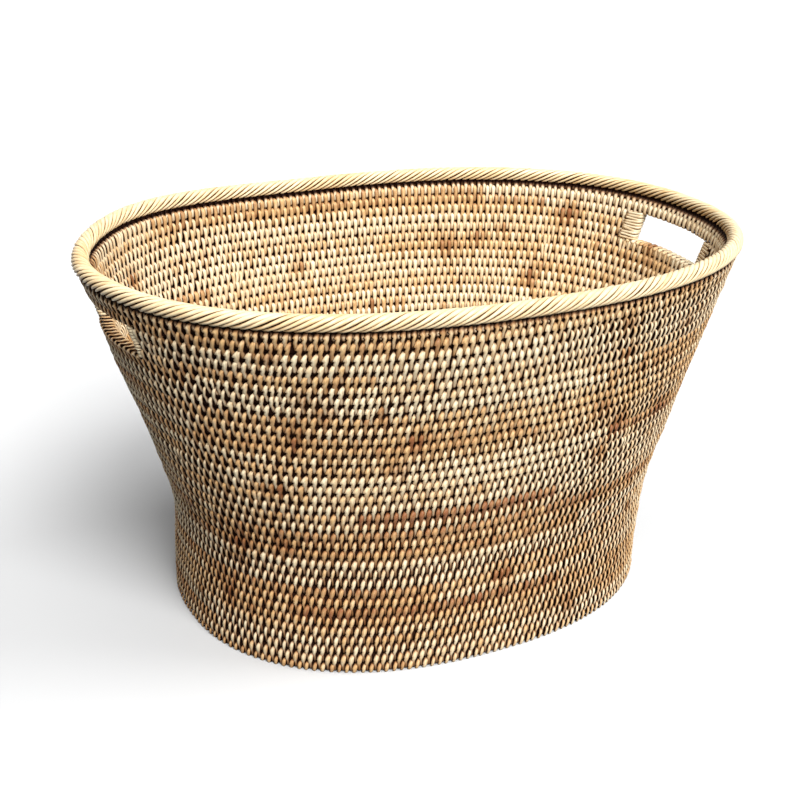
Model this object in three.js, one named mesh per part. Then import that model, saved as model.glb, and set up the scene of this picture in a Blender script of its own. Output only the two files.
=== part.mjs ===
// Oval rattan laundry basket, coiled from cane: a flat coiled base, a wall of rows that climb in
// one spiral, a hand hole through each end of the wall and a rim hoop bound with slanting lashing.
// Millimetres, +Z up, origin on the floor under the middle of the base, long axis along X.
import * as THREE from 'three';

// The oval, measured at the middle of the wall's thickness
const RIM_HALF_LENGTH = 298;
const RIM_HALF_WIDTH = 197;
const BASE_HALF_LENGTH = 220;
const BASE_HALF_WIDTH = 165;
const RIM_FULLNESS = 2.25; // 2 is an ellipse, more fills the corners
const BASE_FULLNESS = 2.3;

// The wall stands upright up to the knee and flares in a straight line above it
const KNEE_HEIGHT = 102;
const KNEE_SOFTNESS = 12;
const WALL_ROWS = 35;
const ROW_RISE = 9.25;
const WALL_THICKNESS = 10; // cane with its stitches
const WALL_ROW_CROWN = 2.2; // how much narrower a row is above and below than in its middle
const ROWS_PER_CANE = 5; // a new cane is spliced in about this often

// The base mat
const BASE_THICKNESS = 9;
const BASE_ROW_GAP = 0.8;
const BASE_ROW_CROWN = 3.2; // how much narrower a row is on top than on its underside

// The hand holes
const HOLE_LENGTH = 98;
const HOLE_ROWS = 3;
const ROWS_OVER_HOLE = 2;
const EDGE_WRAP_LENGTH = 17;
const EDGE_WRAP_THICKNESS = 1.3;
const EDGE_WRAP_CHAMFER = 2;

// The rim
const HOOP_DIAMETER = 9.5;
const LASHING_THICKNESS = 2;

// Room between pieces
const ROW_GAP = 0.5;
const CLEARANCE = 0.3;

// How finely the curves are stepped
const COIL_STEPS = 24;
const RIM_STEPS = 36;
const ROUND_SIDES = 8;
const LASHING_SIDES = 6;
const TAPER_STEPS = 4; // steps left off where a spiral thins out to nothing
const SHORTEST_STEP = 0.3; // share of a step, so that no facet at a cane's end is a sliver

const TURN = 2 * Math.PI;
const START_ANGLE = -TURN / 4; // the spirals start at the middle of the front
const WALL_TOP = WALL_ROWS * ROW_RISE;
const HOOP_RADIUS = HOOP_DIAMETER / 2;
const HOOP_HEIGHT = WALL_TOP + CLEARANCE + HOOP_RADIUS;
const LASHING_INNER = HOOP_RADIUS + CLEARANCE;
const LASHING_OUTER = LASHING_INNER + LASHING_THICKNESS;

// The spiral passes the right end a quarter turn after the front, and the left end at three quarters
const RIGHT_END = 0.25;
const LEFT_END = 0.75;
const FIRST_CUT_ROW = WALL_ROWS - ROWS_OVER_HOLE - HOLE_ROWS;
const HOLE_HALF = HOLE_LENGTH / 2;
const WRAP_END = HOLE_HALF + EDGE_WRAP_LENGTH;
const BOUND_THICKNESS = WALL_THICKNESS - 2 * (EDGE_WRAP_THICKNESS + CLEARANCE);
const POST_RADIUS = BOUND_THICKNESS / 2;
const POST_PLACE = HOLE_HALF + EDGE_WRAP_THICKNESS + CLEARANCE + POST_RADIUS;
const ROW_END = POST_PLACE + POST_RADIUS + CLEARANCE;

const STRAW = '#d9b984';
const HONEY = '#c79c62';
const PEEL = '#e3c793';

// Share of the flare reached at a height: 0 on the floor, 1 at the hoop
function flare(z) {
  const bend = (height) => KNEE_SOFTNESS * Math.log1p(Math.exp((height - KNEE_HEIGHT) / KNEE_SOFTNESS));
  return (bend(z) - bend(0)) / (bend(HOOP_HEIGHT) - bend(0));
}

function ovalAt(z) {
  const share = flare(z);
  return {
    halfLength: BASE_HALF_LENGTH + share * (RIM_HALF_LENGTH - BASE_HALF_LENGTH),
    halfWidth: BASE_HALF_WIDTH + share * (RIM_HALF_WIDTH - BASE_HALF_WIDTH),
    fullness: BASE_FULLNESS + share * (RIM_FULLNESS - BASE_FULLNESS),
  };
}

// Outward direction of the oval, level with the floor
function ovalNormal(angle, oval) {
  const power = (value) => Math.sign(value) * Math.abs(value) ** (oval.fullness - 1);
  const x = power(Math.cos(angle)) / oval.halfLength;
  const y = power(Math.sin(angle)) / oval.halfWidth;
  return new THREE.Vector2(x, y).normalize();
}

// A point at a height on the wall, moved outward from the middle of its thickness
function wallPoint(angle, outward, z) {
  const oval = ovalAt(z);
  const spread = Math.abs(Math.cos(angle)) ** oval.fullness + Math.abs(Math.sin(angle)) ** oval.fullness;
  const reach = spread ** (-1 / oval.fullness);
  const normal = ovalNormal(angle, oval);
  return new THREE.Vector3(
    oval.halfLength * reach * Math.cos(angle) + outward * normal.x,
    oval.halfWidth * reach * Math.sin(angle) + outward * normal.y,
    z,
  );
}

// Angle between the end of the long axis and the point of the wall this far to its side
function angleBeside(sideways, z) {
  const oval = ovalAt(z);
  const across = sideways / oval.halfWidth;
  const along = (1 - across ** oval.fullness) ** (1 / oval.fullness);
  return Math.atan2(across, along);
}

const angleOfTurn = (turn) => START_ANGLE + TURN * turn;

// A closed solid through rings of points; without caps the last ring joins the first
function loft(rings, capFaces) {
  const count = rings[0].length;
  const positions = rings.flat().flatMap((point) => [point.x, point.y, point.z]);
  const index = [];
  const spans = capFaces ? rings.length - 1 : rings.length;
  for (let ring = 0; ring < spans; ring += 1) {
    const here = ring * count;
    const next = ((ring + 1) % rings.length) * count;
    for (let side = 0; side < count; side += 1) {
      const other = (side + 1) % count;
      index.push(here + side, here + other, next + other);
      index.push(here + side, next + other, next + side);
    }
  }
  for (const [a, b, c] of capFaces ?? []) {
    const last = (rings.length - 1) * count;
    index.push(c, b, a);
    index.push(last + a, last + b, last + c);
  }
  const geometry = new THREE.BufferGeometry();
  geometry.setAttribute('position', new THREE.Float32BufferAttribute(positions, 3));
  geometry.setIndex(signedVolume(positions, index) > 0 ? index : index.reverse());
  geometry.computeVertexNormals();
  return geometry;
}

function signedVolume(positions, index) {
  const corner = (at) => new THREE.Vector3().fromArray(positions, 3 * at);
  let volume = 0;
  for (let at = 0; at < index.length; at += 3) {
    const face = corner(index[at + 1]).cross(corner(index[at + 2]));
    volume += corner(index[at]).dot(face) / 6;
  }
  return volume;
}

// Triangles that fill an outline, turned the same way round as the outline
function capOf(outline) {
  const points = outline.map(([x, y]) => new THREE.Vector2(x, y));
  const faces = THREE.ShapeUtils.triangulateShape(points, []);
  return THREE.ShapeUtils.isClockWise(points) ? faces.map((face) => face.reverse()) : faces;
}

// Section of a wall row: six-sided, flat above and below, with its edge at mid height
function rowSection(thickness, bottom, top) {
  const middle = (bottom + top) / 2;
  const edge = thickness / 2;
  const flat = (thickness - WALL_ROW_CROWN) / 2;
  return [[edge, middle], [flat, top], [-flat, top], [-edge, middle], [-flat, bottom], [flat, bottom]];
}

// The spiral's first turn thickens up from the floor and its last thins out under the hoop
function rowBottom(turn) {
  return turn <= 1 ? 0 : ROW_RISE * (turn - 1) + ROW_GAP / 2;
}

function rowTop(turn) {
  return turn >= WALL_ROWS ? WALL_TOP : ROW_RISE * turn - ROW_GAP / 2;
}

function ringOnSpiral(turn) {
  const section = rowSection(WALL_THICKNESS, rowBottom(turn), rowTop(turn));
  return section.map(([outward, z]) => wallPoint(angleOfTurn(turn), outward, z));
}

// Beside a hand hole the rings are placed by their distance from the end of the long axis
function ringBesideHole(hole, side, sideways, thickness) {
  const turn = turnBeside(hole, side, sideways);
  const section = rowSection(thickness, rowBottom(turn), rowTop(turn));
  return section.map(([outward, z]) => {
    return wallPoint(angleOfTurn(hole) + side * angleBeside(sideways, z), outward, z);
  });
}

function turnBeside(hole, side, sideways) {
  return hole + (side * angleBeside(sideways, ROW_RISE * hole)) / TURN;
}

// A row's end at a hand hole is bare of stitches, and thinner, where the edge wrap holds it
function boundEnd(hole, side) {
  return [
    ringBesideHole(hole, side, ROW_END, BOUND_THICKNESS),
    ringBesideHole(hole, side, WRAP_END + CLEARANCE, BOUND_THICKNESS),
    ringBesideHole(hole, side, WRAP_END + 2 * CLEARANCE, WALL_THICKNESS),
  ];
}

// A cane runs along the spiral between two ends, each at a splice or at a hand hole
function cane(start, end) {
  const first = start.hole ? turnBeside(start.hole, 1, WRAP_END + 2 * CLEARANCE) : start.turn;
  const last = end.hole ? turnBeside(end.hole, -1, WRAP_END + 2 * CLEARANCE) : end.turn;
  const shortest = SHORTEST_STEP / COIL_STEPS;
  const rings = start.hole ? boundEnd(start.hole, 1) : [ringOnSpiral(first)];
  for (let step = Math.ceil(first * COIL_STEPS); step <= last * COIL_STEPS; step += 1) {
    const turn = step / COIL_STEPS;
    if (turn - first > shortest && last - turn > shortest) {
      rings.push(ringOnSpiral(turn));
    }
  }
  rings.push(...(end.hole ? boundEnd(end.hole, -1).reverse() : [ringOnSpiral(last)]));
  return loft(rings, capOf(rowSection(WALL_THICKNESS, 0, ROW_RISE)));
}

// The canes in the order they are coiled: the wall up to the first hole, the arcs between the
// holes, and the rows over them
function wallCanes() {
  const canes = [];
  const firstHole = FIRST_CUT_ROW + LEFT_END;
  const lastHole = FIRST_CUT_ROW + HOLE_ROWS + RIGHT_END;
  const count = Math.max(1, Math.round(firstHole / ROWS_PER_CANE));
  const taper = TAPER_STEPS / COIL_STEPS;
  const splice = ROW_GAP / (TURN * BASE_HALF_WIDTH);
  for (let number = 1; number <= count; number += 1) {
    const start = number === 1 ? taper : (firstHole * (number - 1)) / count + splice;
    const end = number === count ? { hole: firstHole } : { turn: (firstHole * number) / count };
    canes.push({ name: `wall_cane_${number}`, geometry: cane({ turn: start }, end) });
  }
  for (let row = 0; row < HOLE_ROWS; row += 1) {
    const left = firstHole + row;
    const right = left + RIGHT_END + 1 - LEFT_END;
    canes.push({ name: `front_arc_${row + 1}`, geometry: cane({ hole: left }, { hole: right }) });
    if (row < HOLE_ROWS - 1) {
      canes.push({ name: `back_arc_${row + 1}`, geometry: cane({ hole: right }, { hole: left + 1 }) });
    }
  }
  const end = { turn: WALL_ROWS + 1 - taper };
  canes.push({ name: `wall_cane_${count + 1}`, geometry: cane({ hole: lastHole }, end) });
  return canes;
}

// A piece at the side of a hand hole, as tall as the cut rows. Its outline is given by the
// distance to the side and the distance out of the middle of the wall.
function besideHole(hole, side, outline) {
  const middleRow = hole + (HOLE_ROWS - 1) / 2;
  const room = ROW_GAP / 2 + CLEARANCE;
  const levels = [-HOLE_ROWS / 2, 0, HOLE_ROWS / 2];
  const rings = levels.map((level) => outline.map(([sideways, outward]) => {
    const turn = turnBeside(middleRow, side, sideways) - 0.5;
    const z = ROW_RISE * (turn + level) - Math.sign(level) * room;
    return wallPoint(angleOfTurn(hole) + side * angleBeside(sideways, z), outward, z);
  }));
  return loft(rings, capOf(outline));
}

// An upright stick at the hole's edge, around which the edge wrap is wound
function post(hole, side) {
  const outline = [];
  for (let corner = 0; corner < ROUND_SIDES; corner += 1) {
    const angle = (TURN * (corner + 0.5)) / ROUND_SIDES;
    outline.push([POST_PLACE + POST_RADIUS * Math.cos(angle), POST_RADIUS * Math.sin(angle)]);
  }
  return besideHole(hole, side, outline);
}

// The skein wound round the post and the ends of the cut rows
function edgeWrap(hole, side) {
  const outer = WALL_THICKNESS / 2;
  const inner = outer - EDGE_WRAP_THICKNESS;
  const near = HOLE_HALF;
  const deep = HOLE_HALF + EDGE_WRAP_THICKNESS;
  const bevel = EDGE_WRAP_CHAMFER - EDGE_WRAP_THICKNESS / 2;
  const half = [
    [near, outer - EDGE_WRAP_CHAMFER],
    [near + EDGE_WRAP_CHAMFER, outer],
    [WRAP_END, outer],
    [WRAP_END, inner],
    [deep + bevel, inner],
    [deep, inner - bevel],
  ];
  const mirrored = half.map(([sideways, outward]) => [sideways, -outward]).reverse();
  return besideHole(hole, side, [...half, ...mirrored]);
}

// The base coil starts round a short straight rod and its turns grow into the wall's oval. A
// point is given by the angle and by its distance from that rod's axis.
function basePoint(angle, distance, z) {
  const oval = ovalAt(0);
  const edge = BASE_HALF_WIDTH - WALL_THICKNESS / 2 - CLEARANCE;
  const normal = ovalNormal(angle, oval);
  const straight = THREE.MathUtils.clamp(Math.cos(angle) / Math.sin(TURN / COIL_STEPS), -1, 1);
  const rod = new THREE.Vector2(straight * (BASE_HALF_LENGTH - BASE_HALF_WIDTH), 0);
  const wall = wallPoint(angle, edge - BASE_HALF_WIDTH, 0);
  const even = rod.clone().addScaledVector(normal, distance);
  const full = rod.clone().addScaledVector(normal, edge);
  const share = distance / edge;
  return new THREE.Vector3(
    even.x + share * (wall.x - full.x),
    even.y + share * (wall.y - full.y),
    z,
  );
}

function basePitch() {
  const edge = BASE_HALF_WIDTH - WALL_THICKNESS / 2 - CLEARANCE;
  const turns = Math.round(edge / ROW_RISE - 0.5);
  return { turns, pitch: edge / (turns + 0.5) };
}

// A base row is flat below and narrower on top. Where the coil thins out, so does its crown.
function baseSection(inner, outer) {
  const slope = Math.min(BASE_ROW_CROWN, (outer - inner) / 2) / 2;
  return [[inner, 0], [outer, 0], [outer - slope, BASE_THICKNESS], [inner + slope, BASE_THICKNESS]];
}

function baseCoilRings() {
  const { turns, pitch } = basePitch();
  const rings = [];
  for (let step = TAPER_STEPS; step <= (turns + 1) * COIL_STEPS - TAPER_STEPS; step += 1) {
    const turn = step / COIL_STEPS;
    const inner = pitch * (0.5 + Math.max(0, turn - 1)) + BASE_ROW_GAP / 2;
    const outer = turn >= turns ? pitch * (turns + 0.5) : pitch * (0.5 + turn) - BASE_ROW_GAP / 2;
    rings.push(baseSection(inner, outer).map(([distance, z]) => {
      return basePoint(angleOfTurn(turn), distance, z);
    }));
  }
  return rings;
}

function baseCoil() {
  return loft(baseCoilRings(), capOf(baseSection(0, ROW_RISE)));
}

function baseRod() {
  const reach = (basePitch().pitch - BASE_ROW_GAP) / 2;
  const outline = [];
  for (let step = 0; step < COIL_STEPS; step += 1) {
    const point = basePoint((TURN * step) / COIL_STEPS, reach, 0);
    outline.push([point.x, point.y]);
  }
  const rings = [0, BASE_THICKNESS].map((z) => outline.map(([x, y]) => new THREE.Vector3(x, y, z)));
  return loft(rings, capOf(outline));
}

// A closed ring along the rim, from a section given round the hoop's centre
function rimRing(section) {
  const rings = [];
  for (let step = 0; step < RIM_STEPS; step += 1) {
    const angle = (TURN * step) / RIM_STEPS;
    rings.push(section.map(([outward, up]) => {
      const middle = wallPoint(angle, 0, HOOP_HEIGHT);
      const outer = wallPoint(angle, 1, HOOP_HEIGHT);
      return middle.clone().lerp(outer, outward).setZ(HOOP_HEIGHT + up);
    }));
  }
  return loft(rings, null);
}

function rimHoop() {
  const section = [];
  for (let corner = 0; corner < ROUND_SIDES; corner += 1) {
    const angle = (TURN * (corner + 0.5)) / ROUND_SIDES;
    section.push([HOOP_RADIUS * Math.cos(angle), HOOP_RADIUS * Math.sin(angle)]);
  }
  return rimRing(section);
}

// The lashing goes over the hoop and ends, inside and outside, level with the top of the wall.
// Its inner facets stand outside the hoop's circle.
function rimLashing() {
  const opening = Math.acos(LASHING_INNER / LASHING_OUTER);
  const step = (TURN - 2 * opening) / LASHING_SIDES;
  const arc = [];
  for (let side = 0; side <= LASHING_SIDES; side += 1) {
    arc.push(-TURN / 4 + opening + side * step);
  }
  const at = (radius) => (angle) => [radius * Math.cos(angle), radius * Math.sin(angle)];
  const inside = arc.map(at(LASHING_INNER / Math.cos(step / 2))).reverse();
  return rimRing([...arc.map(at(LASHING_OUTER)), ...inside]);
}

// Least distance between a ring and the one a turn later, over the points of both
function leastGap(rings, stepsPerTurn) {
  const line = new THREE.Line3();
  const nearest = new THREE.Vector3();
  let least = Infinity;
  for (let at = 0; at + stepsPerTurn < rings.length; at += 1) {
    const pair = [rings[at], rings[at + stepsPerTurn]];
    for (const [points, edges] of [pair, [...pair].reverse()]) {
      points.forEach((point) => edges.forEach((from, side) => {
        line.set(from, edges[(side + 1) % edges.length]);
        line.closestPointToPoint(point, true, nearest);
        least = Math.min(least, point.distanceTo(nearest));
      }));
    }
  }
  return least;
}

function wallSpiralRings() {
  const rings = [];
  for (let step = TAPER_STEPS; step <= (WALL_ROWS + 1) * COIL_STEPS - TAPER_STEPS; step += 1) {
    rings.push(ringOnSpiral(step / COIL_STEPS));
  }
  return rings;
}

const basket = new THREE.Group();
basket.name = 'rattan_basket';

function add(name, geometry, color, roughness) {
  const material = new THREE.MeshStandardMaterial({ color, roughness, metalness: 0 });
  const mesh = new THREE.Mesh(geometry, material);
  mesh.name = name;
  basket.add(mesh);
}

add('base_rod', baseRod(), HONEY, 0.7);
add('base_coil', baseCoil(), STRAW, 0.7);
for (const { name, geometry } of wallCanes()) {
  add(name, geometry, STRAW, 0.65);
}

const holes = [
  { end: 'left', first: FIRST_CUT_ROW + LEFT_END, sides: { back: -1, front: 1 } },
  { end: 'right', first: FIRST_CUT_ROW + 1 + RIGHT_END, sides: { front: -1, back: 1 } },
];
for (const { end, first, sides } of holes) {
  for (const [place, side] of Object.entries(sides)) {
    add(`hole_post_${end}_${place}`, post(first, side), HONEY, 0.7);
    add(`hole_wrap_${end}_${place}`, edgeWrap(first, side), PEEL, 0.6);
  }
}

add('rim_hoop', rimHoop(), HONEY, 0.7);
add('rim_lashing', rimLashing(), PEEL, 0.6);

console.log(`least gap between the wall's turns ${leastGap(wallSpiralRings(), COIL_STEPS).toFixed(2)} mm`);
console.log(`least gap between the base's turns ${leastGap(baseCoilRings(), COIL_STEPS).toFixed(2)} mm`);

export default basket;
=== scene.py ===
"""Looks of the oval rattan laundry basket. Its solids are covered, in the order in which such a
basket is coiled, by the base, the wall, the edges of the hand holes and the rim. Metres, +Z up."""

import math

import bpy
import numpy as np
from mathutils import Matrix, Vector


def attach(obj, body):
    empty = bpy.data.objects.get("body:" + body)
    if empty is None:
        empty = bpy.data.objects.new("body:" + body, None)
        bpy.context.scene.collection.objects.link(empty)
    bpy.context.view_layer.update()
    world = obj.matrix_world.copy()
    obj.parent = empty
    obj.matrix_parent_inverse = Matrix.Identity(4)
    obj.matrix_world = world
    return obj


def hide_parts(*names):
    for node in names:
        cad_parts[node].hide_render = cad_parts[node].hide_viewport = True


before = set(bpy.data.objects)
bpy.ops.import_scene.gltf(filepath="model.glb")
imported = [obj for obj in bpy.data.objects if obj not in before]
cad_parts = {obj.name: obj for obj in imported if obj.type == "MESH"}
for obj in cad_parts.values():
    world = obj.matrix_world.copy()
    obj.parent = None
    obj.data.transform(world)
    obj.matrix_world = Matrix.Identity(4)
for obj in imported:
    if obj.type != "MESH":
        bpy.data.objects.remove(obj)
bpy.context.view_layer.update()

# The core canes of the base. The base starts round a short straight rod of rattan core, and one long
# core cane is coiled round the rod, flat on the floor. The core is the pith of the palm, fibrous,
# and the stitches hide nearly all of it. Where it shows between them it is coloured nearly black:
# painted shade.

MM = 0.001
TURN = 2 * math.pi
START = -TURN / 4  # both coils start in the middle of the front
# The ovals are measured to the middle of the wall's thickness
RIM_HALF_LENGTH = 298 * MM
RIM_HALF_WIDTH = 197 * MM
BASE_HALF_LENGTH = 220 * MM
BASE_HALF_WIDTH = 165 * MM
RIM_FULLNESS = 2.25  # exponent of the oval; an ellipse has 2
BASE_FULLNESS = 2.3
KNEE_HEIGHT = 102 * MM  # below it the wall is nearly upright, above it the wall flares out
KNEE_SOFTNESS = 12 * MM
HOOP_HEIGHT = 328.8 * MM
WALL_THICKNESS = 10 * MM
CLEARANCE = 0.3 * MM
ROW_RISE = 9.25 * MM
WALL_ROWS = 35
WALL_TOP = WALL_ROWS * ROW_RISE
BASE_THICKNESS = 9 * MM
BASE_MIDDLE = BASE_THICKNESS / 2
BASE_EDGE = BASE_HALF_WIDTH - WALL_THICKNESS / 2 - CLEARANCE
BASE_TURNS = round(BASE_EDGE / ROW_RISE - 0.5)
BASE_PITCH = BASE_EDGE / (BASE_TURNS + 0.5)
ROD_HALF_LENGTH = BASE_HALF_LENGTH - BASE_HALF_WIDTH
ROD_HALF_WIDTH = 3.6 * MM
FLANK = TURN / 24  # this near to front and back the coils run past the rod, elsewhere round its ends
CORE_CORNERS = 8
CORE_SQUARENESS = 0.7  # 1 would be round
CORE_START = 0.17  # a cane is shaved thin at its start, and shows from this part of a turn on
BASE_CORE_DEPTH = 2.1 * MM  # from the cane's middle up and down

chance = np.random.default_rng(31)


def flare(z):
    """Share of the flare reached at a height: 0 on the floor, 1 at the hoop."""

    def bend(height):
        return np.logaddexp(0, (height - KNEE_HEIGHT) / KNEE_SOFTNESS)

    return (bend(z) - bend(0)) / (bend(HOOP_HEIGHT) - bend(0))


def oval_at(z):
    """Half length, half width and fullness of the oval at a height."""
    share = flare(z)
    half_length = BASE_HALF_LENGTH + share * (RIM_HALF_LENGTH - BASE_HALF_LENGTH)
    half_width = BASE_HALF_WIDTH + share * (RIM_HALF_WIDTH - BASE_HALF_WIDTH)
    fullness = BASE_FULLNESS + share * (RIM_FULLNESS - BASE_FULLNESS)
    return half_length, half_width, fullness


def oval_normal(angle, z):
    """Outward direction of the oval, level with the floor."""
    half_length, half_width, fullness = oval_at(z)
    c, s = np.cos(angle), np.sin(angle)
    x = np.sign(c) * np.abs(c) ** (fullness - 1) / half_length
    y = np.sign(s) * np.abs(s) ** (fullness - 1) / half_width
    size = np.hypot(x, y)
    return np.stack(np.broadcast_arrays(x / size, y / size, 0.0), axis=-1)


def wall_point(angle, outward, z):
    """A point at a height on the wall, moved outward from the middle of its thickness."""
    half_length, half_width, fullness = oval_at(z)
    c, s = np.cos(angle), np.sin(angle)
    reach = (np.abs(c) ** fullness + np.abs(s) ** fullness) ** (-1 / fullness)
    point = np.broadcast_arrays(half_length * reach * c, half_width * reach * s, z + 0.0)
    return np.stack(point, axis=-1) + np.asarray(outward)[..., None] * oval_normal(angle, z)


def base_point(angle, distance, z):
    """A point of the base, at a distance from the axis of the rod in its middle."""
    along = np.clip(np.cos(angle) / math.sin(FLANK), -1, 1) * ROD_HALF_LENGTH
    on_rod = np.stack(np.broadcast_arrays(along, 0.0, 0.0), axis=-1)
    normal = oval_normal(angle, 0)
    edge = wall_point(angle, BASE_EDGE - BASE_HALF_WIDTH, 0)
    even_edge = on_rod + BASE_EDGE * normal
    distance = np.asarray(distance)[..., None]
    point = on_rod + distance * normal + distance / BASE_EDGE * (edge - even_edge)
    return point + np.stack(np.broadcast_arrays(0.0, 0.0, z + np.zeros_like(point[..., 0])), axis=-1)


def mesh_piece(name, points, faces, material, corners=None, **values):
    """Makes a smooth mesh object that rides on the basket, from blocks of faces with equally many
    corners. Corners are the places in the bake map; values are kept per point for the material."""
    mesh = bpy.data.meshes.new(name)
    starts, used = [], 0
    for block in faces:
        starts.append(used + np.arange(len(block)) * block.shape[1])
        used += block.size
    starts = np.concatenate(starts)
    mesh.vertices.add(len(points))
    mesh.vertices.foreach_set("co", np.asarray(points, np.float32).ravel())
    mesh.loops.add(used)
    order = np.concatenate([block.ravel() for block in faces])
    mesh.loops.foreach_set("vertex_index", order.astype(np.int32))
    mesh.polygons.add(len(starts))
    mesh.polygons.foreach_set("loop_start", starts.astype(np.int32))
    mesh.polygons.foreach_set("use_smooth", np.ones(len(starts), bool))
    if corners is not None:
        mesh.uv_layers.new(name="OFBake").data.foreach_set("uv", corners.astype(np.float32).ravel())
    for key, value in values.items():
        value = np.asarray(value, np.float32)
        kind, field = ("FLOAT_VECTOR", "vector") if value.ndim == 2 else ("FLOAT", "value")
        mesh.attributes.new(key, kind, "POINT").data.foreach_set(field, value.ravel())
    mesh.update(calc_edges=True)
    mesh.validate()
    mesh.materials.append(material)
    piece = bpy.data.objects.new(name, mesh)
    bpy.context.scene.collection.objects.link(piece)
    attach(piece, "root")
    return piece


def rod_piece(name, middle, side, up, material):
    """A rod along a path. Side and up are its half widths, as vectors, at each point of the path."""
    around = TURN * np.arange(CORE_CORNERS) / CORE_CORNERS
    c, s = np.cos(around), np.sin(around)
    c, s = np.sign(c) * np.abs(c) ** CORE_SQUARENESS, np.sign(s) * np.abs(s) ** CORE_SQUARENESS
    ring = c[:, None] * side[:, None] + s[:, None] * up[:, None]
    points = (middle[:, None] + ring).reshape(-1, 3)
    near = np.arange(len(middle) - 1)[:, None] * CORE_CORNERS
    far = near + CORE_CORNERS
    here, there = np.arange(CORE_CORNERS), (np.arange(CORE_CORNERS) + 1) % CORE_CORNERS
    sides = np.stack([near + here, near + there, far + there, far + here], -1).reshape(-1, 4)
    ends = np.array([here[::-1], CORE_CORNERS * (len(middle) - 1) + here])
    step = np.concatenate([[0], np.cumsum(np.linalg.norm(np.diff(middle, axis=0), axis=1))])
    girth = around * 4 * MM
    fibre = np.stack(np.broadcast_arrays(girth, step[:, None], 0.0), -1).reshape(-1, 3)
    return mesh_piece(name, points, [sides, ends], material, fibre=fibre)


def linear(code):
    """A hex colour as linear red, green, blue and alpha."""
    parts = [int(code[at : at + 2], 16) / 255 for at in (1, 3, 5)]
    return [part / 12.92 if part <= 0.04045 else ((part + 0.055) / 1.055) ** 2.4 for part in parts] + [1]


def add(material, kind, sockets, **settings):
    """Adds a node, sets its settings, and links or sets its sockets."""
    made = material.node_tree.nodes.new(kind)
    for name, value in settings.items():
        setattr(made, name, value)
    for name, value in sockets.items():
        if isinstance(value, bpy.types.NodeSocket):
            material.node_tree.links.new(value, made.inputs[name])
        else:
            made.inputs[name].default_value = value
    return made


def new_material(name):
    """A material with no nodes in it yet."""
    material = bpy.data.materials.new(name)
    material.use_nodes = True
    material.node_tree.nodes.clear()
    return material


# Rattan core, peeled and cut: matt, with open pores drawn out along the cane. There are 13 pores in
# 10 mm across it and 9 in 100 mm along it. It is coloured nearly black: painted shade for the deep
# gaps between the stitches, where it shows.
PORES_ACROSS = 13 / (10 * MM)
PORES_ALONG = 9 / (100 * MM)
core = new_material("rattan_core")
fibre = add(core, "ShaderNodeAttribute", {}, attribute_name="fibre")
stretch = add(
    core,
    "ShaderNodeMapping",
    {"Vector": fibre.outputs["Vector"], "Scale": (PORES_ACROSS, PORES_ALONG, 1)},
)
pores = add(
    core, "ShaderNodeTexNoise", {"Vector": stretch.outputs["Vector"], "Scale": 1.0, "Detail": 3.0}
)
# Painted shade: both colours are nearly black
grain = add(
    core,
    "ShaderNodeMixRGB",
    {"Fac": pores.outputs["Fac"], "Color1": linear("#120602"), "Color2": linear("#2f150a")},
)
relief = add(
    core, "ShaderNodeBump", {"Height": pores.outputs["Fac"], "Strength": 0.5, "Distance": 0.3 * MM}
)
surface = add(
    core,
    "ShaderNodeBsdfPrincipled",
    {
        "Base Color": grain.outputs["Color"],
        "Roughness": 0.9,
        "Specular IOR Level": 0.1,
        "Normal": relief.outputs["Normal"],
    },
)
add(core, "ShaderNodeOutputMaterial", {"Surface": surface.outputs["BSDF"]})


def base_row(turn):
    """Distance of a base row's middle from the rod's axis, and its half width."""
    inner = BASE_PITCH * (0.5 + np.maximum(0, turn - 1))
    outer = np.where(turn >= BASE_TURNS, BASE_PITCH * (BASE_TURNS + 0.5), BASE_PITCH * (0.5 + turn))
    return (inner + outer) / 2, (outer - inner) / 2


# A station every 5 degrees, to where the cane runs out thin against the wall
turn = np.arange(CORE_START, BASE_TURNS + 0.84, 1 / 72)
distance, half = base_row(turn)
middle = base_point(START + TURN * turn, distance, BASE_MIDDLE)
outward = base_point(START + TURN * turn, distance + 1 * MM, BASE_MIDDLE) - middle
outward = outward / np.linalg.norm(outward, axis=1)[:, None]
up = np.array([0, 0, 1.0]) * np.minimum(BASE_CORE_DEPTH, half * 0.9)[:, None]
piece = rod_piece("base_core", middle, outward * (0.82 * half)[:, None], up, core)
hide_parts("base_coil")

reach = np.linspace(-1, 1, 9)[:, None] * np.array([ROD_HALF_LENGTH, 0, 0])
middle = reach + np.array([0, 0, BASE_MIDDLE])
side = np.array([0, ROD_HALF_WIDTH, 0]) + 0 * reach
piece = rod_piece("base_core_rod", middle, side, np.array([0, 0, BASE_CORE_DEPTH]) + 0 * reach, core)
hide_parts("base_rod")
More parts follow.
